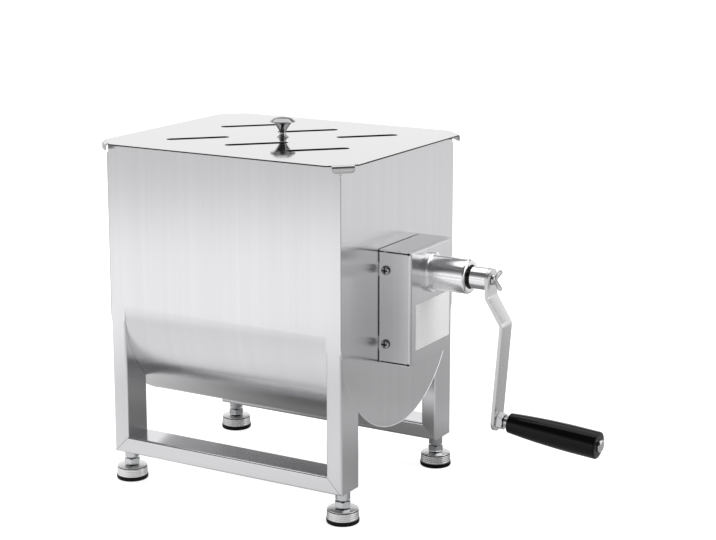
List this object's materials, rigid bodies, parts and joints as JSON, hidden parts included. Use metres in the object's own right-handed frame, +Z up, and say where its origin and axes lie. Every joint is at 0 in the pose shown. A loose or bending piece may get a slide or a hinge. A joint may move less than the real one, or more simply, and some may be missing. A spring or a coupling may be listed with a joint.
{
  "type": "hand-cranked meat mixer",
  "caption": "Hand-cranked meat mixer: round-bottomed stainless tank on a tube frame with screw feet, slotted lift-off lid, side gearbox, bent crank with turning grip and geared paddle shaft.",
  "frame": {"origin": "on the floor, midway between the four feet", "axes": "+X along the shafts towards the crank, +Y to the back, +Z up"},
  "size_m": [0.452, 0.217, 0.3298],
  "materials": {
    "brushed_stainless": "fine straight brushing",
    "mirror_stainless": "bright rolled sheet with a faint grain",
    "polished_stainless": "turned and polished",
    "satin_plated_steel": "satin plated flat bar",
    "zinc_plated_steel": "bright zinc plate",
    "gear_steel": "machined and oiled",
    "bearing_bronze": "sintered",
    "black_rubber": "moulded",
    "black_grip": "moulded, glossy"
  },
  "bodies": {
    "frame": {"trough": "brushed_stainless", "left_end_plate": "brushed_stainless", "right_end_plate": "brushed_stainless", "front_rail": "brushed_stainless", "rear_rail": "brushed_stainless", "foot_sockets": "polished_stainless", "gearbox_cover": "brushed_stainless", "cover_screws": "polished_stainless", "cover_brackets": "brushed_stainless", "bearing_plate": "brushed_stainless", "plate_posts": "brushed_stainless", "plate_screws": "polished_stainless", "bearing_housing": "polished_stainless", "housing_collar": "polished_stainless", "crank_bushes": "bearing_bronze", "crank_seal": "black_rubber", "wall_bush": "bearing_bronze", "wall_seal": "black_rubber", "spindle_bush": "bearing_bronze", "pin_boss": "brushed_stainless", "bearing_pin": "polished_stainless", "pin_lock_nut": "polished_stainless", "front_left_leg": "brushed_stainless", "front_right_leg": "brushed_stainless", "rear_left_leg": "brushed_stainless", "rear_right_leg": "brushed_stainless"},
    "paddle": {"drive_gear": "gear_steel", "drive_spindle": "polished_stainless", "paddle_shaft": "brushed_stainless", "paddle_arms": "brushed_stainless", "mixing_blades": "brushed_stainless"},
    "crank": {"crank_shaft": "polished_stainless", "pinion": "gear_steel", "crank_hub": "polished_stainless", "crank_arm": "satin_plated_steel", "grip_spindle": "polished_stainless", "grip_nut": "polished_stainless"},
    "thumb_screw": {"thumb_screw": "polished_stainless"},
    "grip": {"grip": "black_grip"},
    "lid": {"lid": "mirror_stainless", "lid_knob": "polished_stainless", "knob_screw": "polished_stainless"},
    "front_left_foot": {"front_left_stud": "zinc_plated_steel", "front_left_cup": "polished_stainless", "front_left_pad": "black_rubber"},
    "front_right_foot": {"front_right_stud": "zinc_plated_steel", "front_right_cup": "polished_stainless", "front_right_pad": "black_rubber"},
    "rear_left_foot": {"rear_left_stud": "zinc_plated_steel", "rear_left_cup": "polished_stainless", "rear_left_pad": "black_rubber"},
    "rear_right_foot": {"rear_right_stud": "zinc_plated_steel", "rear_right_cup": "polished_stainless", "rear_right_pad": "black_rubber"}
  },
  "joints": [
    {"name": "crank_turn", "type": "hinge", "parent": "frame", "child": "crank", "pos_m": [0.1882, 0, 0.20625], "axis": [1, 0, 0], "continuous": true},
    {"name": "paddle_turn", "type": "hinge", "parent": "frame", "child": "paddle", "pos_m": [0, 0, 0.165], "axis": [1, 0, 0], "continuous": true},
    {"name": "grip_turn", "type": "hinge", "parent": "crank", "child": "grip", "pos_m": [0.21465, 0, 0.08385], "axis": [0.9968, 0, -0.0802], "continuous": true},
    {"name": "thumb_screw_turn", "type": "hinge", "parent": "crank", "child": "thumb_screw", "pos_m": [0.2087, 0, 0.20625], "axis": [1, 0, 0], "range_deg": [0, 450]},
    {"name": "lid_lift", "type": "slide", "parent": "frame", "child": "lid", "axis": [0, 0, 1], "range_m": [0, 0.12]},
    {"name": "front_left_foot_adjust", "type": "slide", "parent": "frame", "child": "front_left_foot", "axis": [0, 0, -1], "range_m": [0, 0.02]},
    {"name": "front_right_foot_adjust", "type": "slide", "parent": "frame", "child": "front_right_foot", "axis": [0, 0, -1], "range_m": [0, 0.02]},
    {"name": "rear_left_foot_adjust", "type": "slide", "parent": "frame", "child": "rear_left_foot", "axis": [0, 0, -1], "range_m": [0, 0.02]},
    {"name": "rear_right_foot_adjust", "type": "slide", "parent": "frame", "child": "rear_right_foot", "axis": [0, 0, -1], "range_m": [0, 0.02]}
  ],
  "couplings": [
    {"joint": "paddle_turn", "follows": "crank_turn", "ratio": -0.44737}
  ]
}
